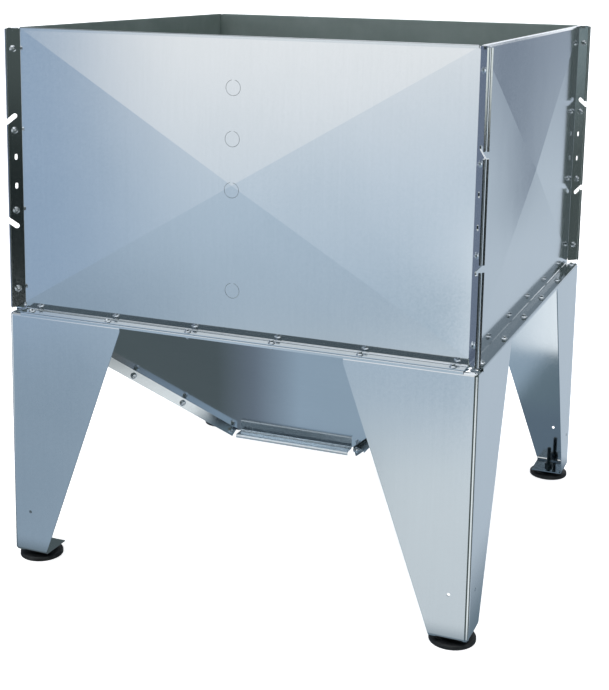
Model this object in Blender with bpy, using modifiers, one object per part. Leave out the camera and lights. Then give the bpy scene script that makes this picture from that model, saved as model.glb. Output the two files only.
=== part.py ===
"""Open pellet silo of galvanised sheet on four folded legs.

Units are metres, +Z is up, and the origin is on the floor under the middle
of the silo. The front wall faces -Y.
"""
from math import cos, degrees, pi, radians, sin, sqrt, tan

import bmesh
import bpy
from mathutils import Matrix, Vector

# Box of four cross-broken walls
BOX_W = 0.960            # corner to corner along X, outside
BOX_D = 0.942            # corner to corner along Y, outside
BOX_TOP = 1.139          # height of the top edge over the floor
BASE_Z = 0.552           # top of the walls' bottom flange
SHEET = 0.0015           # galvanised sheet of the walls and hopper
CROWN = 0.008            # how far the middle of a wall stands out
BEND = 0.0025            # outer radius of the folds
BEND_STEPS = 3
BASE_FLANGE = 0.025      # outward flange that the box and hopper are bolted by
BASE_BEND = 0.0035       # fold over that flange
BASE_BEND_STEPS = 4
BASE_STRIP = 0.0125      # strip over the fold that leans in
BASE_LEAN = radians(6)
FOLD_RELIEF = 0.001      # end of the side and bottom folds, from the face's corner
HEM_RADIUS = 0.002       # top edge folded over to the outside
HEM_OPEN = radians(8)    # how far its straight leg stands off the wall
HEM_LEG = 0.0046
HEM_RELIEF = 0.0025      # end of the rolled edge, from the face's corner
HEM_STEPS = 6

# Corner fins: each wall ends in a flange at 45 degrees with a turned lip
FIN = 0.0282             # from the corner to the fin's outer edge
FIN_LIP = 0.006
FIN_TAB = (0.0038, 0.0155)  # rolled tab on the fin's top, from the corner
FIN_PEAK = (0.0185, 0.0235)  # stretch of the fin's top that stands as high as the tab
FIN_LOW = 0.557          # height of the fin's lower end
FIN_BOLT = 0.0135        # bolt line, from the corner
FIN_MID = 0.844          # height that the notches and slots lie around
HOOK_MID = 0.104         # mouth of a hook notch, from that height
HOOK_RISE = 0.0105       # how far the notch climbs towards its round end
HOOK_END = 0.0145        # centre of the round end, from the corner
HOOK_WIDTH = 0.0105
SLOT_MID = 0.030         # small slots, from that height
SLOT_WIDTH = 0.0060
SLOT_LENGTH = 0.0125

# Round knock-outs on the middle line of the front wall
KNOCKOUT_D = 0.031
KNOCKOUT_SLIT = 0.0008
KNOCKOUT_TAB = 24.0      # degrees of sheet left as a tab at the top
KNOCKOUT_Z = (1.040, 0.942, 0.843, 0.643)

# Hopper of four sloping sheets down to a rectangular outlet
OUTLET_W = 0.266
OUTLET_D = 0.257
OUTLET_Z = 0.220
OUTLET_FLANGE = 0.029
OUTLET_LIP = 0.0065
HOPPER_LIP = 0.007       # turned-down edge of the hopper's top flange
SEAM_FIN = 0.022         # bolted seam along each corner of the hopper
SEAM_START = 0.06        # share of the corner line before the seam starts
SEAM_END = 0.985

# Legs: one folded sheet each, wide at the top
LEG_SHEET = 0.002
LEG_BEND = 0.0075        # outer radius of the legs' folds
LEG_BEND_STEPS = 4
LEG_TOP_W = 0.262
LEG_FOOT_W = 0.077
LEG_SHOULDER = 0.014     # short upright stretch under the flange
LEG_BOTTOM_Z = 0.0175
LEG_FLANGE = 0.020
LEG_NOTCH = (0.012, 0.034, 0.022)  # cut in the flange: start, end and tip, from the corner
LEG_RELIEF_D = 0.005     # hole where the three folds meet at the foot
LEG_HOLE_D = 0.007
LEG_HOLE_IN = 0.041      # hole, from the leg's outer corner
LEG_HOLE_Z = 0.110

# Levelling feet
FOOT_IN = 0.041          # stud, from the leg's outer corner
PAD_D = 0.092
PAD_H = 0.010
PAD_EDGE = 0.0015        # bevel of the pad's edges
BOSS_D = 0.036
BOSS_H = 0.002
STUD_D = 0.010
STUD_TOP = 0.069
NUT_FLATS = 0.017
NUT_H = 0.008

REACH = 0.010            # how far a cutter runs past what it cuts
GAP = 0.0003             # clearance where two pieces meet
HALF_GAP_45 = GAP / sqrt(2.0)
ROUND_STEPS = 32
FOLD_ANGLE = radians(40)  # a sharper edge than this is a fold

SIDES = ("front", "right", "back", "left")
CORNERS = {
    "front_left": (-1, -1),
    "front_right": (1, -1),
    "back_right": (1, 1),
    "back_left": (-1, 1),
}
UP = Vector((0, 0, 1))


def clear_scene():
    for old in list(bpy.data.objects):
        bpy.data.objects.remove(old, do_unlink=True)


def new_collection(name):
    group = bpy.data.collections.new(name)
    bpy.context.scene.collection.children.link(group)
    return group


def make_material(name, colour, roughness, metallic):
    material = bpy.data.materials.new(name)
    material.use_nodes = True
    shader = material.node_tree.nodes["Principled BSDF"]
    shader.inputs["Base Color"].default_value = (*colour, 1.0)
    shader.inputs["Roughness"].default_value = roughness
    shader.inputs["Metallic"].default_value = metallic
    material.diffuse_color = (*colour, 1.0)
    return material


def object_from_bmesh(name, bm, group, material=None, place=Matrix()):
    mesh = bpy.data.meshes.new(name)
    bm.to_mesh(mesh)
    bm.free()
    thing = bpy.data.objects.new(name, mesh)
    thing.matrix_world = place
    if material:
        mesh.materials.append(material)
    group.objects.link(thing)
    return thing


def as_cutter(thing):
    thing.hide_render = True
    thing.display_type = "WIRE"
    return thing


def cut(thing, cutter):
    mod = thing.modifiers.new("cut_" + cutter.name, "BOOLEAN")
    mod.operation = "DIFFERENCE"
    mod.solver = "EXACT"
    mod.object = cutter


def join(thing, other):
    mod = thing.modifiers.new("join_" + other.name, "BOOLEAN")
    mod.operation = "UNION"
    mod.solver = "EXACT"
    mod.object = other


def give_thickness(thing, thickness):
    """Thicken an open sheet away from the side its normals look to."""
    mod = thing.modifiers.new("sheet", "SOLIDIFY")
    mod.thickness = thickness
    mod.offset = -1.0
    mod.use_even_offset = True
    mod.use_quality_normals = True


def round_folds(thing, radius, steps):
    mod = thing.modifiers.new("folds", "BEVEL")
    mod.width = radius
    mod.segments = steps
    mod.limit_method = "ANGLE"
    mod.angle_limit = FOLD_ANGLE


def bend(bm, edges, *steps):
    """Fold a strip out of some edges, one straight step after another."""
    for step in steps:
        made = bmesh.ops.extrude_edge_only(bm, edges=edges)["geom"]
        moved = [v for v in made if isinstance(v, bmesh.types.BMVert)]
        bmesh.ops.translate(bm, verts=moved, vec=step)
        edges = [e for e in made if isinstance(e, bmesh.types.BMEdge)]
    return edges


def setback(heading, new, radius=BEND):
    """What a rounded fold takes off the straight run on either side of it."""
    return radius * tan(heading.angle(new) / 2)


def fold(heading, new, radius=BEND, count=BEND_STEPS):
    """Short straight steps that turn a strip from one heading to another."""
    angle = heading.angle(new)
    across = (new - heading * cos(angle)).normalized()
    path = [heading * radius * sin(angle * i / count)
            + across * radius * (1 - cos(angle * i / count)) for i in range(count + 1)]
    return [b - a for a, b in zip(path, path[1:])]


def face_towards(bm, direction):
    """Turn all normals so that the first face looks along a direction."""
    bmesh.ops.recalc_face_normals(bm, faces=bm.faces)
    bm.faces.ensure_lookup_table()
    if bm.faces[0].normal.dot(direction) < 0.0:
        bmesh.ops.reverse_faces(bm, faces=bm.faces)


def edge_between(bm, start, end):
    """The edge whose two ends lie at two points."""
    for edge in bm.edges:
        a, b = (v.co for v in edge.verts)
        if min((a - start).length + (b - end).length,
               (a - end).length + (b - start).length) < 1e-5:
            return edge
    raise ValueError("no edge there")


def inset(corners, normal, distances):
    """An outline with each edge moved in; edge i starts at corner i."""
    moved = []
    for i, corner in enumerate(corners):
        a = (corner - corners[i - 1]).normalized()
        b = (corners[(i + 1) % len(corners)] - corner).normalized()
        shift = b * distances[i - 1] - a * distances[i]
        moved.append(corner + shift / normal.dot(a.cross(b)))
    return moved


def outline_face(bm, corners, stops):
    """One face with extra points at a distance from each corner, along both edges."""
    points = []
    count = len(corners)
    for i, corner in enumerate(corners):
        before = (corners[i - 1] - corner).normalized()
        after = (corners[(i + 1) % count] - corner).normalized()
        points += [corner + before * stops[i][0], corner, corner + after * stops[i][1]]
    return bm.faces.new([bm.verts.new(p) for p in points]), points


def prism(bm, outline, place, depth):
    """A closed prism whose outline lies in a frame's XY plane, centred on it."""
    base = [bm.verts.new(place @ Vector((x, y, -depth / 2))) for x, y in outline]
    face = bm.faces.new(base)
    made = bmesh.ops.extrude_face_region(bm, geom=[face])["geom"]
    top = [v for v in made if isinstance(v, bmesh.types.BMVert)]
    bmesh.ops.translate(bm, verts=top, vec=place.to_3x3() @ Vector((0, 0, depth)))


def add_rod(bm, diameter, length, place, sides=ROUND_STEPS // 2):
    """A closed round or many-sided bar, centred on a frame's Z axis."""
    bmesh.ops.create_cone(bm, cap_ends=True, segments=sides, radius1=diameter / 2,
                          radius2=diameter / 2, depth=length, matrix=place)


def arc(centre, radius, start, end, steps):
    """Points on an arc, with its angles in degrees."""
    turn = [radians(start + (end - start) * i / steps) for i in range(steps + 1)]
    return [(centre[0] + radius * cos(a), centre[1] + radius * sin(a)) for a in turn]


def slot_outline(a, b, width):
    """A slot with round ends around two centres."""
    heading = Vector((b[0] - a[0], b[1] - a[1]))
    angle = heading.to_2d().angle_signed(Vector((1, 0))) * 180 / pi
    return (arc(a, width / 2, angle + 90, angle + 270, 8)
            + arc(b, width / 2, angle - 90, angle + 90, 8))


def side_place(side, distance):
    """Frame of a side: local -Y looks out, at a distance from the middle."""
    turn = Matrix.Rotation(SIDES.index(side) * pi / 2, 4, "Z")
    return turn @ Matrix.Translation((0, -distance, 0))


def side_sizes(side):
    """Length of a side and its distance from the middle, outside."""
    if side in ("front", "back"):
        return BOX_W, BOX_D / 2
    return BOX_D, BOX_W / 2


def add_hem(bm, edge, outward):
    """Roll a top edge over to the outside and down, with its leg standing off."""
    roll = arc((-HEM_RADIUS, 0), HEM_RADIUS, 0, 180 - degrees(HEM_OPEN), HEM_STEPS)
    steps = [-outward * (b[0] - a[0]) + UP * (b[1] - a[1]) for a, b in zip(roll, roll[1:])]
    leg = outward * sin(HEM_OPEN) - UP * cos(HEM_OPEN)
    bend(bm, [edge], *steps, leg * HEM_LEG)


def height(vert):
    return vert.co.z


def add_fin(bm, edge, way):
    """Corner flange at 45 degrees, with a lip and a rolled tab on its top."""
    run = Vector((way, 0, 0))
    along = Vector((way, -1, 0)).normalized()
    outward = Vector((-way, -1, 0)).normalized()
    corner = fold(run, along)
    start = setback(run, along)
    top = max(edge.verts, key=height).co + sum(corner, Vector())
    tab = [top + along * (s - start) for s in FIN_TAB]
    end = bend(bm, [edge], *corner, along * (FIN_TAB[0] - start))
    min(end[0].verts, key=height).co.z = FIN_LOW
    last = FIN + SHEET * sqrt(2.0) - setback(along, outward)
    stations = [*FIN_TAB, *FIN_PEAK, last]
    rises = (0.0, HEM_RADIUS, 0.0, -HEM_RADIUS)
    for before, station, rise in zip(stations, stations[1:], rises):
        end = bend(bm, end, along * (station - before))
        max(end[0].verts, key=height).co.z += rise
    bend(bm, end, *fold(along, outward), outward * (FIN_LIP - setback(along, outward)))
    add_hem(bm, edge_between(bm, *tab), outward)


def wall_surface(length):
    """Inner surface of a wall with all its folds, seen from -Y as outside."""
    bm = bmesh.new()
    half = length / 2 - SHEET - HALF_GAP_45
    high = BOX_TOP - HEM_RADIUS
    out = Vector((0, -1, 0))
    down = Vector((0, sin(BASE_LEAN), -cos(BASE_LEAN)))
    base_back = setback(down, out, BASE_BEND)
    below = down * (BASE_STRIP + base_back)
    low = BASE_Z - SHEET - below.z
    half -= setback(Vector((1, 0, 0)), Vector((1, -1, 0)))
    corners = [Vector((-half, 0, low)), Vector((half, 0, low)),
               Vector((half, 0, high)), Vector((-half, 0, high))]
    stops = [(FOLD_RELIEF, FOLD_RELIEF), (FOLD_RELIEF, FOLD_RELIEF),
             (FOLD_RELIEF, HEM_RELIEF), (HEM_RELIEF, FOLD_RELIEF)]
    face, points = outline_face(bm, corners, stops)
    middle = bmesh.ops.poke(bm, faces=[face])["verts"][0]
    middle.co = (0, -CROWN, (high + low) / 2)

    bottom = edge_between(bm, points[2], points[3])
    right = edge_between(bm, points[5], points[6])
    top = edge_between(bm, points[8], points[9])
    left = edge_between(bm, points[11], points[0])
    bend(bm, [bottom], down * BASE_STRIP, *fold(down, out, BASE_BEND, BASE_BEND_STEPS),
         out * (BASE_FLANGE + SHEET + below.y - base_back))
    add_fin(bm, right, 1)
    add_fin(bm, left, -1)
    add_hem(bm, top, out)
    face_towards(bm, Vector((0, 1, 0)))
    return bm


def fin_place(length, way):
    """Frame on a wall's fin: X runs out along the fin and Y runs up."""
    along = Vector((way, -1, 0)).normalized()
    frame = Matrix((along, UP, along.cross(UP))).transposed().to_4x4()
    frame.translation = (way * (length / 2 - SHEET), 0, FIN_MID)
    return frame


def wall_cutter(name, side, length, place, group):
    """Hook notches and slots of both fins, and the knock-outs' slits."""
    bm = bmesh.new()
    beyond = FIN + REACH
    slope = HOOK_RISE / (FIN - HOOK_END)
    past_lips = 2 * (FIN_LIP + REACH)
    for way in (-1, 1):
        frame = fin_place(length, way)
        for up in (-1, 1):
            end = (HOOK_END, up * (HOOK_MID + HOOK_RISE))
            mouth = (beyond, up * (HOOK_MID + HOOK_RISE - slope * (beyond - HOOK_END)))
            prism(bm, slot_outline(end, mouth, HOOK_WIDTH), frame, past_lips)
            half = (SLOT_LENGTH - SLOT_WIDTH) / 2
            low = (FIN_BOLT, up * SLOT_MID - half)
            high = (FIN_BOLT, up * SLOT_MID + half)
            prism(bm, slot_outline(low, high, SLOT_WIDTH), frame, REACH)
    if side == "front":
        gap = KNOCKOUT_TAB / 2
        outer = KNOCKOUT_D / 2
        inner = outer - KNOCKOUT_SLIT
        upright = Matrix.Rotation(pi / 2, 4, "X")
        for z in KNOCKOUT_Z:
            ring = (arc((0, 0), outer, 90 + gap, 450 - gap, ROUND_STEPS)
                    + arc((0, 0), inner, 450 - gap, 90 + gap, ROUND_STEPS))
            prism(bm, ring, Matrix.Translation((0, 0, z)) @ upright, 2 * (CROWN + REACH))
    bmesh.ops.recalc_face_normals(bm, faces=bm.faces)
    return as_cutter(object_from_bmesh(name, bm, group, place=place))


def make_wall(side, group, cutters, material):
    length, distance = side_sizes(side)
    place = side_place(side, distance - SHEET)
    wall = object_from_bmesh("wall_" + side, wall_surface(length), group, material, place)
    give_thickness(wall, SHEET)
    cut(wall, wall_cutter("cutter_wall_" + side, side, length, place, cutters))


def make_hopper_sheet(side, group, material):
    """Sloping sheet with its top flange, two seam fins and the outlet flange."""
    length, distance = side_sizes(side)
    outlet = (OUTLET_W, OUTLET_D) if side in ("front", "back") else (OUTLET_D, OUTLET_W)
    top_half = length / 2 - SHEET - HALF_GAP_45
    low_half = outlet[0] / 2 - HALF_GAP_45
    run = distance - SHEET - outlet[1] / 2
    high = BASE_Z - SHEET - GAP
    out = Vector((0, -1, 0))
    corners = [Vector((-low_half, run, OUTLET_Z)), Vector((low_half, run, OUTLET_Z)),
               Vector((top_half, 0, high)), Vector((-top_half, 0, high))]
    slope = Vector((0, -run, high - OUTLET_Z)).normalized()
    normal = Vector((1, 0, 0)).cross(slope)

    seams = {}
    for way, a, b in ((1, 1, 2), (-1, 0, 3)):
        line = (corners[b] - corners[a]).normalized()
        fin = (-UP + line * line.z).normalized()
        heading = line.cross(normal) * way
        seams[way] = (heading, fin)
    seam_back = setback(*seams[1])
    out_back = setback(-slope, out)
    top_back = setback(slope, out)
    corners = inset(corners, normal, [out_back, seam_back, top_back, seam_back])
    length_of_seam = (corners[2] - corners[1]).length
    near_outlet = length_of_seam * (1 - SEAM_END)
    near_top = length_of_seam * SEAM_START
    stops = [(near_outlet, FOLD_RELIEF), (FOLD_RELIEF, near_outlet),
             (near_top, FOLD_RELIEF), (FOLD_RELIEF, near_top)]
    bm = bmesh.new()
    points = outline_face(bm, corners, stops)[1]

    lip_back = setback(out, -UP)
    bend(bm, [edge_between(bm, points[2], points[3])],
         *fold(-slope, out), out * (OUTLET_FLANGE - out_back - lip_back),
         *fold(out, -UP), -UP * (OUTLET_LIP - lip_back))
    bend(bm, [edge_between(bm, points[8], points[9])],
         *fold(slope, out), out * (BASE_FLANGE + SHEET - top_back - lip_back),
         *fold(out, -UP), -UP * (HOPPER_LIP - lip_back))
    for way, start, end in ((1, 5, 6), (-1, 11, 0)):
        heading, fin = seams[way]
        bend(bm, [edge_between(bm, points[start], points[end])],
             *fold(heading, fin), fin * (SEAM_FIN - seam_back))
    face_towards(bm, Vector((0, 1, 1)))
    place = side_place(side, distance - SHEET)
    sheet = object_from_bmesh("hopper_" + side, bm, group, material, place)
    give_thickness(sheet, SHEET)


def make_leg(corner, group, cutters, material):
    """Folded leg: two tapered faces, a flange on top and a plate at the foot."""
    sx, sy = CORNERS[corner]
    inset_by = SHEET + GAP
    reach_x = BOX_W / 2 + BASE_FLANGE - inset_by
    reach_y = BOX_D / 2 + BASE_FLANGE - inset_by
    top = BASE_Z - 2 * SHEET - 2 * GAP
    bm = bmesh.new()
    place = Matrix.Translation((LEG_TOP_W / 2, LEG_TOP_W / 2, (top + LEG_BOTTOM_Z) / 2))
    size = Matrix.Diagonal((LEG_TOP_W, LEG_TOP_W, top - LEG_BOTTOM_Z, 1))
    bmesh.ops.create_cube(bm, size=1.0, matrix=place @ size)
    open_sides = [f for f in bm.faces
                  if f.normal.x > 0.5 or f.normal.y > 0.5 or f.normal.z > 0.5]
    bmesh.ops.delete(bm, geom=open_sides, context="FACES")
    bmesh.ops.bisect_plane(
        bm, geom=bm.verts[:] + bm.edges[:] + bm.faces[:],
        plane_co=(0, 0, top - LEG_SHOULDER), plane_no=(0, 0, 1))
    for v in bm.verts:
        if v.co.z < LEG_BOTTOM_Z + 1e-5:
            v.co.x = min(v.co.x, LEG_FOOT_W)
            v.co.y = min(v.co.y, LEG_FOOT_W)
    rim = [e for e in bm.edges if all(v.co.z > top - 1e-5 for v in e.verts)]
    made = bmesh.ops.extrude_edge_only(bm, edges=rim)["geom"]
    for v in made:
        if isinstance(v, bmesh.types.BMVert):
            v.co.x += LEG_FLANGE if v.co.x < 1e-5 else 0.0
            v.co.y += LEG_FLANGE if v.co.y < 1e-5 else 0.0
    face_towards(bm, Vector((-1, -1, 0)))
    place = Matrix.Translation((sx * reach_x, sy * reach_y, 0)) @ Matrix.Diagonal(
        (-sx, -sy, 1, 1))
    bmesh.ops.transform(bm, matrix=place, verts=bm.verts)
    if sx * sy < 0:
        bmesh.ops.reverse_faces(bm, faces=bm.faces)
    leg = object_from_bmesh("leg_" + corner, bm, group, material)
    round_folds(leg, LEG_BEND, LEG_BEND_STEPS)
    give_thickness(leg, LEG_SHEET)
    cut(leg, leg_cutter("cutter_leg_" + corner, place, top, cutters))


def leg_cutter(name, place, top, group):
    """The leg's holes, its relief at the foot and the notches in its top flange."""
    bm = bmesh.new()
    through = LEG_SHEET + REACH
    lying = Matrix.Rotation(pi / 2, 4, "X")
    across = Matrix.Rotation(pi / 2, 4, "Y")
    bottom = Matrix.Translation((0, 0, LEG_BOTTOM_Z))
    add_rod(bm, LEG_HOLE_D, through, Matrix.Translation((LEG_HOLE_IN, 0, LEG_HOLE_Z)) @ lying)
    add_rod(bm, LEG_HOLE_D, through, Matrix.Translation((0, LEG_HOLE_IN, LEG_HOLE_Z)) @ across)
    add_rod(bm, STUD_D + 2 * GAP, through, bottom @ Matrix.Translation((FOOT_IN, FOOT_IN, 0)))
    diagonal = Vector((1, 1, 1)).to_track_quat("Z", "Y").to_matrix().to_4x4()
    add_rod(bm, LEG_RELIEF_D, 4 * LEG_BEND, bottom @ diagonal)
    start, end, tip = LEG_NOTCH
    for notch in ([(start, -REACH), (end, -REACH), (tip, tip)],
                  [(-REACH, start), (tip, tip), (-REACH, end)]):
        prism(bm, notch, Matrix.Translation((0, 0, top)), 2 * LEG_SHEET)
    bmesh.ops.transform(bm, matrix=place, verts=bm.verts)
    bmesh.ops.recalc_face_normals(bm, faces=bm.faces)
    return as_cutter(object_from_bmesh(name, bm, group))


def turned(name, profile, group, material, place):
    """A closed round piece from its outer profile, top to bottom."""
    bm = bmesh.new()
    verts = [bm.verts.new((r, 0, z)) for r, z in profile]
    for a, b in zip(verts, verts[1:]):
        bm.edges.new((a, b))
    thing = object_from_bmesh(name, bm, group, material, place)
    mod = thing.modifiers.new("turn", "SCREW")
    mod.steps = ROUND_STEPS
    mod.render_steps = ROUND_STEPS
    mod.use_merge_vertices = True
    mod.merge_threshold = 0.00001
    mod.use_smooth_shade = False
    return thing


def make_foot(corner, group, cutters, rubber, steel):
    """Round pad on the floor, threaded stud with its fixed nut, and a lock nut."""
    sx, sy = CORNERS[corner]
    inset_by = SHEET + GAP
    x = sx * (BOX_W / 2 + BASE_FLANGE - inset_by - FOOT_IN)
    y = sy * (BOX_D / 2 + BASE_FLANGE - inset_by - FOOT_IN)
    place = Matrix.Translation((x, y, 0))
    rim = PAD_D / 2
    boss = BOSS_D / 2
    top = PAD_H + BOSS_H
    profile = [(0, top), (boss - PAD_EDGE, top), (boss, top - PAD_EDGE), (boss, PAD_H),
               (rim - 2 * PAD_EDGE, PAD_H - 2 * PAD_EDGE), (rim, PAD_H - 4 * PAD_EDGE),
               (rim, PAD_EDGE), (rim - PAD_EDGE, 0), (0, 0)]
    turned("foot_pad_" + corner, profile, group, rubber, place)

    low = top + GAP
    plate = LEG_BOTTOM_Z
    bm = bmesh.new()
    add_rod(bm, STUD_D, STUD_TOP - low, Matrix.Translation((0, 0, (STUD_TOP + low) / 2)))
    stud = object_from_bmesh("foot_stud_" + corner, bm, group, steel, place)
    bm = bmesh.new()
    fixed_h = plate - GAP - low - GAP
    across = NUT_FLATS / cos(radians(30))
    add_rod(bm, across, fixed_h, Matrix.Translation((0, 0, plate - GAP - fixed_h / 2)), 6)
    nut = as_cutter(object_from_bmesh("fixed_nut_" + corner, bm, cutters, place=place))
    join(stud, nut)

    bm = bmesh.new()
    middle = plate + LEG_SHEET + GAP + NUT_H / 2
    add_rod(bm, across, NUT_H, Matrix.Translation((0, 0, middle)), 6)
    lock = object_from_bmesh("lock_nut_" + corner, bm, group, steel, place)
    bm = bmesh.new()
    add_rod(bm, STUD_D + 2 * GAP, 2 * NUT_H, Matrix.Translation((0, 0, middle)))
    bore = as_cutter(object_from_bmesh("cutter_nut_" + corner, bm, cutters, place=place))
    cut(lock, bore)


def main():
    clear_scene()
    group = new_collection("pellet_silo")
    cutters = new_collection("cutters")
    zinc = make_material("galvanised_sheet", (0.62, 0.68, 0.74), 0.25, 1.0)
    for side in SIDES:
        make_wall(side, group, cutters, zinc)
        make_hopper_sheet(side, group, zinc)
    rubber = make_material("black_rubber", (0.02, 0.02, 0.022), 0.6, 0.0)
    steel = make_material("zinc_plated_steel", (0.35, 0.37, 0.39), 0.35, 1.0)
    for corner in CORNERS:
        make_leg(corner, group, cutters, zinc)
        make_foot(corner, group, cutters, rubber, steel)


main()
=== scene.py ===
import math
import random

import bmesh
import bpy
from mathutils import Matrix, Vector


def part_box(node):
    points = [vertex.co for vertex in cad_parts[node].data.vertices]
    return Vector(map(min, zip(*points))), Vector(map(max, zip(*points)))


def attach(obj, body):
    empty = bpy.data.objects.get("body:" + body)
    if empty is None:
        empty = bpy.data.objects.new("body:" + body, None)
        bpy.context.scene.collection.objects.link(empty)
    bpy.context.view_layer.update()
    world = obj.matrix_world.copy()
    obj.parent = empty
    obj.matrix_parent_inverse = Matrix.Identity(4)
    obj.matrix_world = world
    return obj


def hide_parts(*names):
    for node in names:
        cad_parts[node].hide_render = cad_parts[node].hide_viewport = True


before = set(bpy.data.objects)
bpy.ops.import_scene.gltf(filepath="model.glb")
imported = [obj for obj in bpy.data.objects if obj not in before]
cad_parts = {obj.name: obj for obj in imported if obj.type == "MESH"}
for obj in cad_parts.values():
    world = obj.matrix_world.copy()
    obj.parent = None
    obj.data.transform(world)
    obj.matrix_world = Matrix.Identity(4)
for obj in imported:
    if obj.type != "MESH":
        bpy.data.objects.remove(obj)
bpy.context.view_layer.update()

MM = 0.001

# Places that the solids already have, in metres.
BOX_HALF = Vector((0.480, 0.471, 0.0))
BASE_TOP = 0.552
SHEET = 1.5 * MM
OUTLET_HALF = Vector((0.133, 0.1285, 0.0))
OUTLET_Z = 0.220
FOOT = Vector((0.4622, 0.4532, 0.0))

CORNERS = {
    "front_left": (-1, -1),
    "front_right": (1, -1),
    "back_right": (1, 1),
    "back_left": (-1, 1),
}


# ---------------------------------------------------------------- materials
def new_material(name):
    material = bpy.data.materials.new(name)
    material.use_nodes = True
    tree = material.node_tree
    tree.nodes.clear()
    output = tree.nodes.new("ShaderNodeOutputMaterial")
    shader = tree.nodes.new("ShaderNodeBsdfPrincipled")
    tree.links.new(shader.outputs["BSDF"], output.inputs["Surface"])
    coordinates = tree.nodes.new("ShaderNodeTexCoord")
    return material, tree, shader, coordinates.outputs["Object"]


def stretched(tree, vector, scale):
    node = tree.nodes.new("ShaderNodeMapping")
    node.inputs["Scale"].default_value = scale
    tree.links.new(vector, node.inputs["Vector"])
    return node.outputs["Vector"]


def noise(tree, vector, scale, detail=2.0, roughness=0.5):
    node = tree.nodes.new("ShaderNodeTexNoise")
    node.inputs["Scale"].default_value = scale
    node.inputs["Detail"].default_value = detail
    node.inputs["Roughness"].default_value = roughness
    tree.links.new(vector, node.inputs["Vector"])
    return node.outputs["Fac"]


def crystals(tree, vector, scale):
    node = tree.nodes.new("ShaderNodeTexVoronoi")
    node.inputs["Scale"].default_value = scale
    node.inputs["Randomness"].default_value = 1.0
    tree.links.new(vector, node.inputs["Vector"])
    grey = tree.nodes.new("ShaderNodeSeparateColor")
    tree.links.new(node.outputs["Color"], grey.inputs["Color"])
    return grey.outputs["Red"]


def remap(tree, value, low, high, out_low, out_high):
    node = tree.nodes.new("ShaderNodeMapRange")
    node.inputs["From Min"].default_value = low
    node.inputs["From Max"].default_value = high
    node.inputs["To Min"].default_value = out_low
    node.inputs["To Max"].default_value = out_high
    tree.links.new(value, node.inputs["Value"])
    return node.outputs["Result"]


def arithmetic(tree, operation, first, second):
    node = tree.nodes.new("ShaderNodeMath")
    node.operation = operation
    for socket, value in zip(node.inputs, (first, second)):
        if isinstance(value, (int, float)):
            socket.default_value = value
        else:
            tree.links.new(value, socket)
    return node.outputs[0]


def mixed_colour(tree, share, first, second):
    node = tree.nodes.new("ShaderNodeMix")
    node.data_type = "RGBA"
    tree.links.new(share, node.inputs["Factor"])
    for socket, value in ((node.inputs[6], first), (node.inputs[7], second)):
        if isinstance(value, tuple):
            socket.default_value = (*value, 1.0)
        else:
            tree.links.new(value, socket)
    return node.outputs[2]


def bumped(tree, shader, height, strength, distance):
    node = tree.nodes.new("ShaderNodeBump")
    node.inputs["Strength"].default_value = strength
    node.inputs["Distance"].default_value = distance
    tree.links.new(height, node.inputs["Height"])
    tree.links.new(node.outputs["Normal"], shader.inputs["Normal"])


def galvanised(name, streak, with_shade_inside=False):
    """Bright galvanised sheet: fine spangle, rolling streaks along streak, and a faint waviness."""
    material, tree, shader, place = new_material(name)
    spangle = crystals(tree, place, 330.0)
    cloud = noise(tree, place, 5.5, 3.0)
    rolled = noise(tree, stretched(tree, place, streak), 1.0, 4.0, 0.6)
    fine = noise(tree, place, 900.0, 2.0)

    tone = arithmetic(tree, "ADD", arithmetic(tree, "MULTIPLY", cloud, 0.55),
                      arithmetic(tree, "MULTIPLY", rolled, 0.30))
    tone = arithmetic(tree, "ADD", tone, arithmetic(tree, "MULTIPLY", spangle, 0.15))
    colour = mixed_colour(tree, remap(tree, tone, 0.30, 0.70, 0.0, 1.0),
                          (0.680, 0.720, 0.750), (0.730, 0.765, 0.795))
    tree.links.new(colour, shader.inputs["Base Color"])
    shader.inputs["Metallic"].default_value = 1.0

    dull = arithmetic(tree, "ADD", arithmetic(tree, "MULTIPLY", spangle, 0.45),
                      arithmetic(tree, "MULTIPLY", cloud, 0.55))
    tree.links.new(remap(tree, dull, 0.2, 0.8, 0.085, 0.120), shader.inputs["Roughness"])

    wave = noise(tree, place, 9.0, 1.0)
    height = arithmetic(tree, "ADD", arithmetic(tree, "MULTIPLY", wave, 1.0),
                        arithmetic(tree, "MULTIPLY", fine, 0.004))
    bumped(tree, shader, height, 0.05, 0.0020)
    # Painted shade: the faces that look into the bin get a darker colour.
    if with_shade_inside:
        paint_shade_inside(tree, shader, place)
    return material


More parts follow.
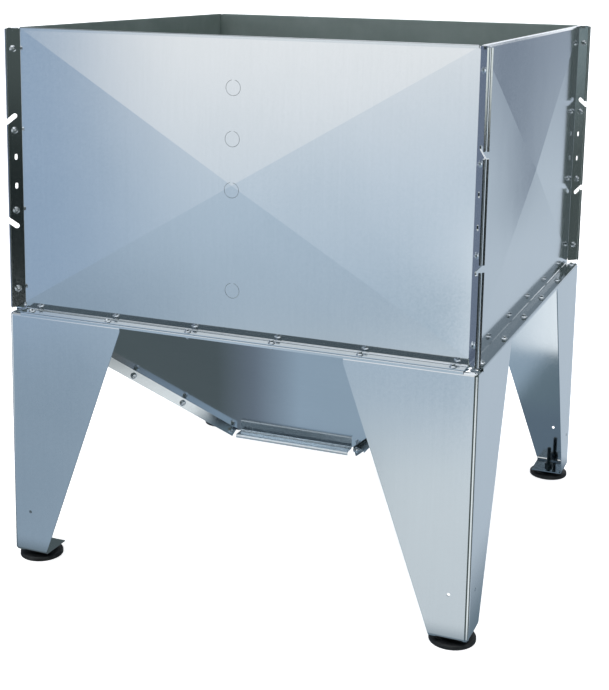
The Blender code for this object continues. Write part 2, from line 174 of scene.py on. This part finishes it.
def paint_shade_inside(tree, shader, place):
    """Paints shade on the faces that look into the bin as a darker, mottled colour, and makes them
    rougher and less metallic.
    """
    normal = tree.nodes.new("ShaderNodeNewGeometry").outputs["True Normal"]
    level = tree.nodes.new("ShaderNodeVectorMath")
    level.operation = "MULTIPLY"
    tree.links.new(place, level.inputs[0])
    level.inputs[1].default_value = (1.0, 1.0, 0.0)
    facing = tree.nodes.new("ShaderNodeVectorMath")
    facing.operation = "DOT_PRODUCT"
    tree.links.new(level.outputs["Vector"], facing.inputs[0])
    tree.links.new(normal, facing.inputs[1])
    inward = arithmetic(tree, "LESS_THAN", facing.outputs["Value"], -0.06)
    inside_mottle = noise(tree, place, 14.0, 5.0, 0.6)

    def blend(socket, inside):
        link = shader.inputs[socket].links[0]
        source = link.from_socket
        node = tree.nodes.new("ShaderNodeMix")
        if socket == "Base Color":
            node.data_type = "RGBA"
            slots = (node.inputs[6], node.inputs[7], node.outputs[2])
        else:
            slots = (node.inputs[2], node.inputs[3], node.outputs[0])
        tree.links.new(inward, node.inputs["Factor"])
        tree.links.new(source, slots[0])
        tree.links.new(inside, slots[1])
        tree.links.new(slots[2], shader.inputs[socket])

    # Painted shade: a darker, mottled colour on the inward faces; the roughness and metallic
    # changes below are the finish.
    blend("Base Color", mixed_colour(tree, remap(tree, inside_mottle, 0.3, 0.7, 0.0, 1.0),
                                     (0.38, 0.445, 0.430), (0.48, 0.545, 0.530)))
    blend("Roughness", remap(tree, inside_mottle, 0.3, 0.7, 0.42, 0.55))
    tree.links.new(remap(tree, inward, 0.0, 1.0, 1.0, 0.55), shader.inputs["Metallic"])


def rubber(name):
    """Matt black moulded rubber with a fine grain and a little dust."""
    material, tree, shader, place = new_material(name)
    grain = noise(tree, place, 1400.0, 3.0)
    dust = noise(tree, place, 60.0, 5.0, 0.65)
    colour = mixed_colour(tree, remap(tree, dust, 0.45, 0.75, 0.0, 1.0),
                          (0.010, 0.011, 0.012), (0.032, 0.034, 0.036))
    tree.links.new(colour, shader.inputs["Base Color"])
    tree.links.new(remap(tree, dust, 0.3, 0.7, 0.38, 0.58), shader.inputs["Roughness"])
    shader.inputs["Specular IOR Level"].default_value = 0.45
    bumped(tree, shader, grain, 0.35, 0.0004)
    return material


def plated_steel(name, dark, pale, rough):
    """Zinc-plated steel of bolts, nuts and studs, with cloudy passivation."""
    material, tree, shader, place = new_material(name)
    cloud = noise(tree, place, 160.0, 3.0)
    scratch = noise(tree, place, 1500.0, 2.0)
    colour = mixed_colour(tree, remap(tree, cloud, 0.3, 0.7, 0.0, 1.0), dark, pale)
    tree.links.new(colour, shader.inputs["Base Color"])
    shader.inputs["Metallic"].default_value = 1.0
    tree.links.new(remap(tree, scratch, 0.2, 0.8, rough - 0.06, rough + 0.08),
                   shader.inputs["Roughness"])
    bumped(tree, shader, scratch, 0.10, 0.0002)
    return material


# Walls and hopper get painted shade on the faces that look into the bin.
SHEET_UPRIGHT = galvanised("galvanised_sheet_walls", (260.0, 260.0, 2.0), True)
SHEET_SLOPED = galvanised("galvanised_sheet_hopper", (3.0, 3.0, 240.0), True)
SHEET_LEG = galvanised("galvanised_sheet_legs", (220.0, 220.0, 3.0))
RUBBER = rubber("black_rubber_pad")
STUD = plated_steel("dark_plated_stud", (0.035, 0.050, 0.055), (0.075, 0.095, 0.100), 0.34)
BOLT = plated_steel("bright_plated_bolt", (0.66, 0.70, 0.74), (0.82, 0.86, 0.90), 0.16)


def dress(node, material):
    mesh_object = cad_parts[node]
    for slot in mesh_object.material_slots:
        slot.material = material
    if not mesh_object.material_slots:
        mesh_object.data.materials.append(material)


for side in ("front", "right", "back", "left"):
    dress("wall_" + side, SHEET_UPRIGHT)
    dress("hopper_" + side, SHEET_SLOPED)
for corner in CORNERS:
    dress("leg_" + corner, SHEET_LEG)
    dress("foot_pad_" + corner, RUBBER)
    dress("foot_stud_" + corner, STUD)
    dress("lock_nut_" + corner, STUD)


# ------------------------------------------------------------------- pieces
def ring(mesh, radius, height, points, turn=0.0, place=None):
    verts = []
    for i in range(points):
        angle = turn + 2.0 * math.pi * i / points
        r = radius(angle) if callable(radius) else radius
        z = height(angle) if callable(height) else height
        verts.append(mesh.verts.new((r * math.cos(angle), r * math.sin(angle), z)))
    return verts


def bridge(mesh, lower, upper):
    count = len(lower)
    for i in range(count):
        j = (i + 1) % count
        mesh.faces.new((lower[i], lower[j], upper[j], upper[i]))


def lathe(mesh, profile, points, hexagon=None):
    """Closes a turned solid from (radius, height) pairs, bottom first; hexagon is not used."""
    rows = []
    for radius, height in profile:
        rows.append(ring(mesh, radius, height, points))
    for lower, upper in zip(rows, rows[1:]):
        bridge(mesh, lower, upper)
    mesh.faces.new(list(reversed(rows[0])))
    mesh.faces.new(rows[-1])


def hex_radius(flats):
    """Outline of a hexagon as radius by angle, with its corners rounded a little."""
    def radius(angle):
        a = (angle + math.pi / 6.0) % (math.pi / 3.0) - math.pi / 6.0
        return min(0.5 * flats / math.cos(a), 0.5 * flats * 1.135)
    return radius


def capped(radius, most):
    return lambda angle: min(radius(angle) if callable(radius) else radius, most)


POINTS = 48


def flange_head(mesh, flats, flange, height):
    """Hexagon head with a pressed-on conical flange, chamfered on top."""
    hexa = hex_radius(flats)
    top = height
    corner = 0.5 * flats * 1.135
    lathe(mesh, [
        (0.5 * flange - 0.25 * MM, 0.0),
        (0.5 * flange, 0.3 * MM),
        (0.5 * flange, 0.9 * MM),
        (0.5 * flange - 0.5 * MM, 1.25 * MM),
        (lambda a: hexa(a) + 0.7 * MM, 2.05 * MM),
        (lambda a: hexa(a) + 0.05 * MM, 2.5 * MM),
        (hexa, 2.8 * MM),
        (hexa, top - 0.9 * MM),
        (capped(hexa, corner - 0.25 * MM), top - 0.45 * MM),
        (capped(hexa, corner - 0.75 * MM), top - 0.12 * MM),
        (capped(hexa, 0.5 * flats - 0.15 * MM), top),
        (0.5 * flats * 0.60, top - 0.02 * MM),
        (0.5 * flats * 0.52, top - 0.25 * MM),
        (0.5 * flats * 0.10, top - 0.30 * MM),
    ], POINTS)


def plain_nut(mesh, flats, height, bore):
    hexa = hex_radius(flats)
    corner = 0.5 * flats * 1.135
    lathe(mesh, [
        (capped(hexa, 0.5 * flats), 0.0),
        (capped(hexa, corner - 0.6 * MM), 0.12 * MM),
        (hexa, 0.7 * MM),
        (hexa, height - 0.9 * MM),
        (capped(hexa, corner - 0.5 * MM), height - 0.3 * MM),
        (capped(hexa, 0.5 * flats - 0.1 * MM), height),
        (bore + 0.5 * MM, height),
        (bore, height - 0.5 * MM),
        (0.2 * bore, height - 0.5 * MM),
    ], POINTS)


def threaded_rod(mesh, major, pitch, length, points=20, tip=0.8 * MM):
    """Rod along +Z from 0 to length with a helical V thread and a chamfered end."""
    depth = 0.58 * pitch
    steps = 4
    rows = []
    count = int(round(length / pitch * steps))
    for i in range(count + 1):
        z = length * i / count
        row = []
        for k in range(points):
            angle = 2.0 * math.pi * k / points
            phase = (z / pitch - k / points) % 1.0
            v = abs(2.0 * phase - 1.0)
            r = major - depth * min(1.0, max(0.0, (v - 0.06) / 0.82))
            from_end = length - z
            if from_end < tip:
                r = min(r, major - (tip - from_end))
            row.append(mesh.verts.new((r * math.cos(angle), r * math.sin(angle), z)))
        rows.append(row)
    for lower, upper in zip(rows, rows[1:]):
        bridge(mesh, lower, upper)
    mesh.faces.new(list(reversed(rows[0])))
    mesh.faces.new(rows[-1])


def solid(maker, *values):
    mesh = bmesh.new()
    maker(mesh, *values)
    bmesh.ops.recalc_face_normals(mesh, faces=mesh.faces)
    data = bpy.data.meshes.new("part")
    mesh.to_mesh(data)
    mesh.free()
    return data


def add_copy(mesh, data, matrix):
    start = len(mesh.verts)
    mesh.from_mesh(data)
    mesh.verts.ensure_lookup_table()
    for vert in mesh.verts[start:]:
        vert.co = matrix @ vert.co


def standing(point, axis, turn):
    """Matrix that stands a part made along +Z at point along axis, turned about it."""
    axis = Vector(axis).normalized()
    rotation = axis.to_track_quat("Z", "Y").to_matrix().to_4x4()
    return Matrix.Translation(point) @ rotation @ Matrix.Rotation(turn, 4, "Z")


def piece(name, mesh, material, sharp=0.6):
    data = bpy.data.meshes.new(name)
    mesh.to_mesh(data)
    mesh.free()
    data.materials.append(material)
    for polygon in data.polygons:
        polygon.use_smooth = True
    data.set_sharp_from_angle(angle=sharp)
    thing = bpy.data.objects.new(name, data)
    bpy.context.scene.collection.objects.link(thing)
    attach(thing, "root")
    return thing


def bolt_end(mesh):
    threaded_rod(mesh, 3.0 * MM, 1.0 * MM, 6.6 * MM, 16)


HEAD = solid(flange_head, 8.0 * MM, 14.0 * MM, 6.4 * MM)
NUT = solid(flange_head, 9.0 * MM, 14.0 * MM, 6.2 * MM)
END = solid(bolt_end)

turns = random.Random(7)


def add_bolt(mesh, point, axis, grip):
    """Flange bolt whose head stands on point along axis, and its nut the grip below."""
    point = Vector(point)
    axis = Vector(axis).normalized()
    add_copy(mesh, HEAD, standing(point, axis, turns.uniform(0.0, 6.28)))
    below = point - axis * grip
    add_copy(mesh, NUT, standing(below, -axis, turns.uniform(0.0, 6.28)))
    add_copy(mesh, END, standing(below - axis * 2.6 * MM, -axis, 0.0))


# Fin bolts: four through each corner fin, heads on the side towards the front and back walls.
FIN_BOLT = 13.5 * MM
FIN_HEIGHTS = (1.0955, 0.9293, 0.7630, 0.5968)
FIN_HALF = 0.15 * MM + SHEET
for corner, (sx, sy) in CORNERS.items():
    group = bmesh.new()
    out = Vector((sx, sy, 0.0)).normalized()
    across = Vector((-sx, sy, 0.0)).normalized()
    for z in FIN_HEIGHTS:
        middle = Vector((sx * BOX_HALF.x, sy * BOX_HALF.y, z)) + out * FIN_BOLT
        add_bolt(group, middle + across * FIN_HALF, across, 2.0 * FIN_HALF)
    piece("fin_bolts_" + corner, group, BOLT)

# Base flange bolts: six on each side, heads on top.
BASE_OUT = 15.0 * MM
BASE_GRIP = 5.2 * MM
for side, (nx, ny) in {"front": (0, -1), "right": (1, 0), "back": (0, 1), "left": (-1, 0)}.items():
    group = bmesh.new()
    pitch = 0.181 if ny else 0.177
    half = BOX_HALF.y if ny else BOX_HALF.x
    for i in range(6):
        along = (i - 2.5) * pitch
        point = Vector((nx, ny, 0)) * (half + BASE_OUT) + Vector((abs(ny), abs(nx), 0)) * along
        add_bolt(group, point + Vector((0, 0, BASE_TOP)), (0, 0, 1), BASE_GRIP)
    piece("base_bolts_" + side, group, BOLT)


# Hopper seam bolts: through the two fins along each corner of the hopper.
SEAM_SHARES = (0.26, 0.49, 0.72, 0.955)
SEAM_BOLT = 11.0 * MM
for corner, (sx, sy) in CORNERS.items():
    group = bmesh.new()
    top = Vector((sx * BOX_HALF.x, sy * BOX_HALF.y, BASE_TOP - 1.8 * MM))
    low = Vector((sx * OUTLET_HALF.x, sy * OUTLET_HALF.y, OUTLET_Z))
    line = (top - low).normalized()
    fin = (Vector((0, 0, -1)) + line * line.z).normalized()
    across = Vector((-sx, sy, 0.0)).normalized()
    for share in SEAM_SHARES:
        middle = top.lerp(low, share) + fin * SEAM_BOLT
        add_bolt(group, middle + across * FIN_HALF, across, 2.0 * FIN_HALF)
    piece("seam_bolts_" + corner, group, BOLT)


# Levelling feet: moulded pad, threaded stud with its fixed nut, and lock nut.
def foot_pad(mesh, radius, height, boss, total):
    lathe(mesh, [
        (radius - 2.0 * MM, 0.0),
        (radius - 0.5 * MM, 0.5 * MM),
        (radius, 1.6 * MM),
        (radius, height * 0.66),
        (radius - 0.5 * MM, height * 0.78),
        (radius - 1.6 * MM, height * 0.88),
        (radius - 3.4 * MM, height * 0.94),
        (radius - 9.0 * MM, height * 0.96),
        (radius - 9.8 * MM, height * 0.99),
        (radius - 11.0 * MM, height),
        (boss + 1.6 * MM, height),
        (boss + 0.4 * MM, height + 0.3 * MM),
        (boss, height + 0.9 * MM),
        (boss - 0.2 * MM, total - 0.5 * MM),
        (boss - 0.9 * MM, total),
        (6.0 * MM, total),
    ], 72)


def foot_stud(mesh, foot, low, high, nut_low, nut_high):
    start = len(mesh.verts)
    threaded_rod(mesh, 5.0 * MM, 1.5 * MM, high - low, 28)
    mesh.verts.ensure_lookup_table()
    for vert in mesh.verts[start:]:
        vert.co.z += low
    nut = solid(plain_nut, 17.0 * MM, nut_high - nut_low, 5.2 * MM)
    add_copy(mesh, nut, Matrix.Translation((0, 0, nut_low)))
    bmesh.ops.translate(mesh, verts=mesh.verts, vec=(foot[0], foot[1], 0.0))


FIXED_NUT = (0.0126, 0.0172)
for corner, (sx, sy) in CORNERS.items():
    foot = (sx * FOOT.x, sy * FOOT.y)
    low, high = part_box("foot_pad_" + corner)
    mesh = bmesh.new()
    foot_pad(mesh, 46.0 * MM, 10.0 * MM, 18.0 * MM, high.z)
    bmesh.ops.translate(mesh, verts=mesh.verts, vec=(*foot, 0.0))
    bmesh.ops.recalc_face_normals(mesh, faces=mesh.faces)
    pad = piece("moulded_pad_" + corner, mesh, RUBBER)
    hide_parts("foot_pad_" + corner)

    low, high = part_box("foot_stud_" + corner)
    mesh = bmesh.new()
    foot_stud(mesh, foot, low.z, high.z, *FIXED_NUT)
    bmesh.ops.recalc_face_normals(mesh, faces=mesh.faces)
    stud = piece("threaded_stud_" + corner, mesh, STUD)
    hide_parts("foot_stud_" + corner)

    low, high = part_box("lock_nut_" + corner)
    mesh = bmesh.new()
    plain_nut(mesh, 17.0 * MM, high.z - low.z, 5.2 * MM)
    bmesh.ops.translate(mesh, verts=mesh.verts, vec=(*foot, low.z))
    bmesh.ops.recalc_face_normals(mesh, faces=mesh.faces)
    nut = piece("chamfered_nut_" + corner, mesh, STUD)
    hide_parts("lock_nut_" + corner)


# ------------------------------------------------------- floor, light, camera
def stage_sheet(name, size, height, material):
    mesh = bmesh.new()
    bmesh.ops.create_grid(mesh, x_segments=2, y_segments=2, size=size)
    data = bpy.data.meshes.new(name)
    mesh.to_mesh(data)
    mesh.free()
    data.materials.append(material)
    sheet = bpy.data.objects.new(name, data)
    bpy.context.scene.collection.objects.link(sheet)
    sheet.location.z = height
    return sheet


def band(tree, value, rise, fall):
    """1 between rise and fall, easing in over the pair rise and out over the pair fall."""
    shares = []
    for (start, end), (low, high) in ((rise, (0.0, 1.0)), (fall, (1.0, 0.0))):
        node = tree.nodes.new("ShaderNodeMapRange")
        node.interpolation_type = "SMOOTHSTEP"
        node.inputs["From Min"].default_value = start
        node.inputs["From Max"].default_value = end
        node.inputs["To Min"].default_value = low
        node.inputs["To Max"].default_value = high
        tree.links.new(value, node.inputs["Value"])
        shares.append(node.outputs["Result"])
    return arithmetic(tree, "MULTIPLY", *shares)


def graded(tree, value, low, high, stops):
    """Colour by value between low and high, from (value, colour) stops."""
    node = tree.nodes.new("ShaderNodeValToRGB")
    node.color_ramp.interpolation = "LINEAR"
    elements = node.color_ramp.elements
    while len(elements) > 1:
        elements.remove(elements[-1])
    for i, (at, colour) in enumerate(stops):
        share = (at - low) / (high - low)
        element = elements[0] if i == 0 else elements.new(share)
        element.position = share
        element.color = (*colour, 1.0)
    tree.links.new(remap(tree, value, low, high, 0.0, 1.0), node.inputs["Fac"])
    return node.outputs["Color"]


def paper(name):
    """Pale paper floor, evenly bright, with a barely seen mottling."""
    material, tree, shader, place = new_material(name)
    cloud = noise(tree, place, 2.0, 3.0)
    colour = mixed_colour(tree, cloud, (0.93, 0.935, 0.94), (0.95, 0.95, 0.95))
    tree.links.new(colour, shader.inputs["Base Color"])
    tree.links.new(remap(tree, cloud, 0.0, 1.0, 0.85, 0.95), shader.inputs["Roughness"])
    shader.inputs["Specular IOR Level"].default_value = 0.1
    shader.inputs["Emission Color"].default_value = (1.0, 1.0, 1.0, 1.0)
    shader.inputs["Emission Strength"].default_value = 0.80
    return material


def shaded_floor(name):
    """The floor in the silo's own shade, as the sheet metal mirrors it."""
    material = bpy.data.materials.new(name)
    material.use_nodes = True
    tree = material.node_tree
    tree.nodes.clear()
    output = tree.nodes.new("ShaderNodeOutputMaterial")
    place = tree.nodes.new("ShaderNodeTexCoord").outputs["Object"]
    split = tree.nodes.new("ShaderNodeSeparateXYZ")
    tree.links.new(place, split.inputs["Vector"])
    colour = graded(tree, split.outputs["X"], -0.9, 0.6, SHADE_BY_X)
    colour = mixed_colour(tree, band(tree, split.outputs["Y"], (-0.10, 0.15), (5.0, 6.0)),
                          colour, SHADE_BEHIND)
    glow = tree.nodes.new("ShaderNodeEmission")
    tree.links.new(colour, glow.inputs["Color"])
    clear = tree.nodes.new("ShaderNodeBsdfTransparent")
    edge = arithmetic(tree, "MULTIPLY",
                      band(tree, split.outputs["X"], (-0.95, -0.80), (0.50, 0.62)),
                      band(tree, split.outputs["Y"], (-0.60, -0.48), (0.48, 0.60)))
    mix = tree.nodes.new("ShaderNodeMixShader")
    tree.links.new(edge, mix.inputs["Fac"])
    tree.links.new(clear.outputs["BSDF"], mix.inputs[1])
    tree.links.new(glow.outputs["Emission"], mix.inputs[2])
    tree.links.new(mix.outputs["Shader"], output.inputs["Surface"])
    return material


# Shade under the silo: by X, and what it goes to behind the middle.
SHADE_BY_X = (
    (-0.90, (0.09, 0.115, 0.12)),
    (-0.30, (0.09, 0.115, 0.125)),
    (-0.20, (0.16, 0.20, 0.25)),
    (-0.08, (0.33, 0.43, 0.53)),
    (0.22, (0.33, 0.43, 0.52)),
    (0.28, (0.150, 0.210, 0.250)),
    (0.60, (0.135, 0.190, 0.235)),
)
SHADE_BEHIND = (0.13, 0.18, 0.23)

floor = stage_sheet("studio_floor", 40.0, -0.0005, paper("studio_floor_paper"))
floor.visible_glossy = False

shade = stage_sheet("mirrored_floor_shade", 1.0, 0.0, shaded_floor("floor_in_shade"))
shade.visible_camera = False
shade.visible_diffuse = False
shade.visible_transmission = False
shade.visible_shadow = False
shade.visible_volume_scatter = False

# What the sheet mirrors in front and behind, by elevation in degrees.
FRONT = (
    (-90.0, (0.22, 0.26, 0.30)),
    (-40.0, (0.60, 0.65, 0.69)),
    (-22.0, (0.78, 0.84, 0.87)),
    (-18.5, (0.47, 0.57, 0.67)),
    (-14.0, (0.53, 0.64, 0.75)),
    (-9.5, (0.68, 0.77, 0.86)),
    (-5.0, (0.88, 0.92, 0.96)),
    (0.0, (1.08, 1.07, 1.06)),
    (5.0, (0.95, 0.97, 0.98)),
    (15.5, (0.84, 0.88, 0.90)),
    (18.5, (0.13, 0.17, 0.20)),
    (34.0, (0.09, 0.11, 0.115)),
    (47.0, (1.10, 1.12, 1.15)),
    (90.0, (1.20, 1.22, 1.25)),
)
BACK = (
    (-90.0, (0.20, 0.24, 0.28)),
    (-30.0, (0.50, 0.58, 0.66)),
    (-9.0, (0.54, 0.62, 0.70)),
    (-3.0, (0.36, 0.42, 0.50)),
    (4.0, (0.25, 0.29, 0.32)),
    (9.0, (0.08, 0.11, 0.11)),
    (36.0, (0.08, 0.10, 0.105)),
    (52.0, (1.10, 1.12, 1.15)),
    (90.0, (1.20, 1.22, 1.25)),
)

# Layers over those: azimuth from "front" (0 at -Y, up to -X) or "back" (0 at +Y, up to +X),
# azimuths of rise and fall, elevations of rise and fall, colour.
LAYERS = (
    ("front", (-8.0, 0.0), (9.0, 15.0), (-23.0, -19.0), (-13.0, -9.0), (1.18, 1.22, 1.24)),
    ("front", (27.0, 36.0), (100.0, 125.0), (-91.0, -90.5), (15.0, 18.0), (0.355, 0.470, 0.620)),
    ("front", (24.0, 34.0), (100.0, 125.0), (-91.0, -90.5), (-19.0, -13.0), (0.31, 0.40, 0.49)),
    ("front", (38.0, 44.0), (64.0, 74.0), (-22.0, -15.0), (12.0, 16.0), (1.02, 1.05, 1.06)),
    ("front", (-75.0, -62.0), (2.0, 10.0), (-91.0, -90.5), (34.0, 42.0), (0.085, 0.105, 0.100)),
    ("front", (12.0, 12.9), (14.6, 17.2), (-17.5, -16.8), (-14.6, -12.4), (0.48, 0.585, 0.68)),
    ("front", (18.9, 19.7), (26.0, 28.5), (-33.0, -29.0), (-21.8, -20.0), (0.16, 0.20, 0.22)),
    ("front", (17.8, 19.0), (25.0, 26.5), (14.8, 16.2), (18.4, 19.6), (2.0, 2.15, 2.25)),
    ("front", (42.0, 52.0), (100.0, 125.0), (30.0, 36.0), (60.0, 70.0), (0.46, 0.50, 0.52)),
    ("front", (-95.0, -85.0), (-55.0, -45.0), (40.0, 48.0), (60.0, 68.0), (0.30, 0.33, 0.33)),
    ("front", (55.0, 80.0), (120.0, 150.0), (-91.0, -90.5), (30.0, 40.0), (0.20, 0.23, 0.31)),
    ("back", (55.0, 85.0), (140.0, 165.0), (-91.0, -90.5), (36.0, 46.0), (0.085, 0.105, 0.100)),
    ("back", (108.0, 118.0), (140.0, 165.0), (-91.0, -90.5), (-9.0, -4.0), (0.018, 0.024, 0.024)),
    ("back", (88.0, 94.0), (100.8, 102.0), (-8.0, -3.0), (3.0, 8.0), (0.19, 0.25, 0.26)),
    ("back", (101.5, 103.0), (108.0, 114.0), (-9.0, -6.0), (8.0, 14.0), (1.05, 1.10, 1.06)),
    ("back", (80.0, 100.0), (140.0, 160.0), (-60.0, -40.0), (-18.5, -16.0), (1.02, 1.06, 1.06)),
    ("back", (-30.0, -20.0), (16.0, 20.0), (-1.6, -0.3), (13.5, 17.0), (1.35, 1.38, 1.42)),
    ("back", (10.5, 13.3), (14.0, 15.2), (-13.0, -9.5), (3.0, 6.0), (0.20, 0.245, 0.31)),
    ("back", (100.0, 103.0), (107.0, 111.0), (-30.0, -24.0), (-8.0, -4.0), (0.022, 0.028, 0.030)),
    ("back", (-2.0, 4.0), (22.0, 28.0), (8.5, 11.0), (62.0, 72.0), (0.22, 0.265, 0.30)),
)


def studio_world():
    """Soft studio surround by direction: white to the camera, graded in what the sheet mirrors."""
    world = bpy.data.worlds.new("studio")
    bpy.context.scene.world = world
    world.use_nodes = True
    tree = world.node_tree
    tree.nodes.clear()
    output = tree.nodes.new("ShaderNodeOutputWorld")
    split = tree.nodes.new("ShaderNodeSeparateXYZ")
    tree.links.new(tree.nodes.new("ShaderNodeTexCoord").outputs["Generated"],
                   split.inputs["Vector"])
    x, y, z = (split.outputs[i] for i in range(3))
    degrees = 180.0 / math.pi
    rise = arithmetic(tree, "MULTIPLY", arithmetic(tree, "ARCSINE", z, 0.0), degrees)
    minus = [arithmetic(tree, "MULTIPLY", value, -1.0) for value in (x, y)]
    azimuth = {
        "front": arithmetic(tree, "MULTIPLY", arithmetic(tree, "ARCTAN2", *minus), degrees),
        "back": arithmetic(tree, "MULTIPLY", arithmetic(tree, "ARCTAN2", x, y), degrees),
    }

    colour = mixed_colour(tree, band(tree, y, (-0.15, 0.45), (5.0, 6.0)),
                          graded(tree, rise, -90.0, 90.0, FRONT),
                          graded(tree, rise, -90.0, 90.0, BACK))
    for side, az_rise, az_fall, el_rise, el_fall, tint in LAYERS:
        share = arithmetic(tree, "MULTIPLY", band(tree, azimuth[side], az_rise, az_fall),
                           band(tree, rise, el_rise, el_fall))
        colour = mixed_colour(tree, share, colour, tint)

    mirror = tree.nodes.new("ShaderNodeBackground")
    tree.links.new(colour, mirror.inputs["Color"])
    white = tree.nodes.new("ShaderNodeBackground")
    white.inputs["Color"].default_value = (1.0, 1.0, 1.0, 1.0)
    white.inputs["Strength"].default_value = 1.05
    path = tree.nodes.new("ShaderNodeLightPath")
    mix = tree.nodes.new("ShaderNodeMixShader")
    tree.links.new(path.outputs["Is Camera Ray"], mix.inputs["Fac"])
    tree.links.new(mirror.outputs["Background"], mix.inputs[1])
    tree.links.new(white.outputs["Background"], mix.inputs[2])
    tree.links.new(mix.outputs["Shader"], output.inputs["Surface"])


studio_world()


def overhead_light():
    """Broad overhead light for the floor and the rubber; the sheet mirrors the surround instead."""
    data = bpy.data.lights.new("overhead", "SUN")
    data.energy = 0.9
    data.angle = math.radians(70.0)
    light = bpy.data.objects.new("overhead", data)
    bpy.context.scene.collection.objects.link(light)
    light.rotation_euler = (math.radians(8.0), math.radians(-6.0), 0.0)
    light.visible_glossy = False


overhead_light()


def make_camera():
    """The photograph's viewing angle, as fitted to the object's measured points."""
    yaw, pitch, roll = -0.3796, 0.1765, 0.0164
    forward = Vector((math.sin(yaw) * math.cos(pitch), math.cos(yaw) * math.cos(pitch),
                      -math.sin(pitch)))
    right = Vector((math.cos(yaw), -math.sin(yaw), 0.0))
    up = right.cross(forward)
    right, up = (right * math.cos(roll) + up * math.sin(roll),
                 up * math.cos(roll) - right * math.sin(roll))
    data = bpy.data.cameras.new("camera")
    data.sensor_width = 36.0
    data.lens = 1303.8 * 36.0 / 690.0
    data.shift_x = (304.5 - 306.55) / 690.0
    data.shift_y = (196.44 - 345.0) / 690.0
    data.clip_end = 100.0
    camera = bpy.data.objects.new("camera", data)
    bpy.context.scene.collection.objects.link(camera)
    turn = Matrix((right, up, -forward)).transposed().to_4x4()
    camera.matrix_world = Matrix.Translation((1.0495, -2.719, 1.2739)) @ turn
    bpy.context.scene.camera = camera


make_camera()
bpy.context.scene.view_settings.view_transform = "Standard"
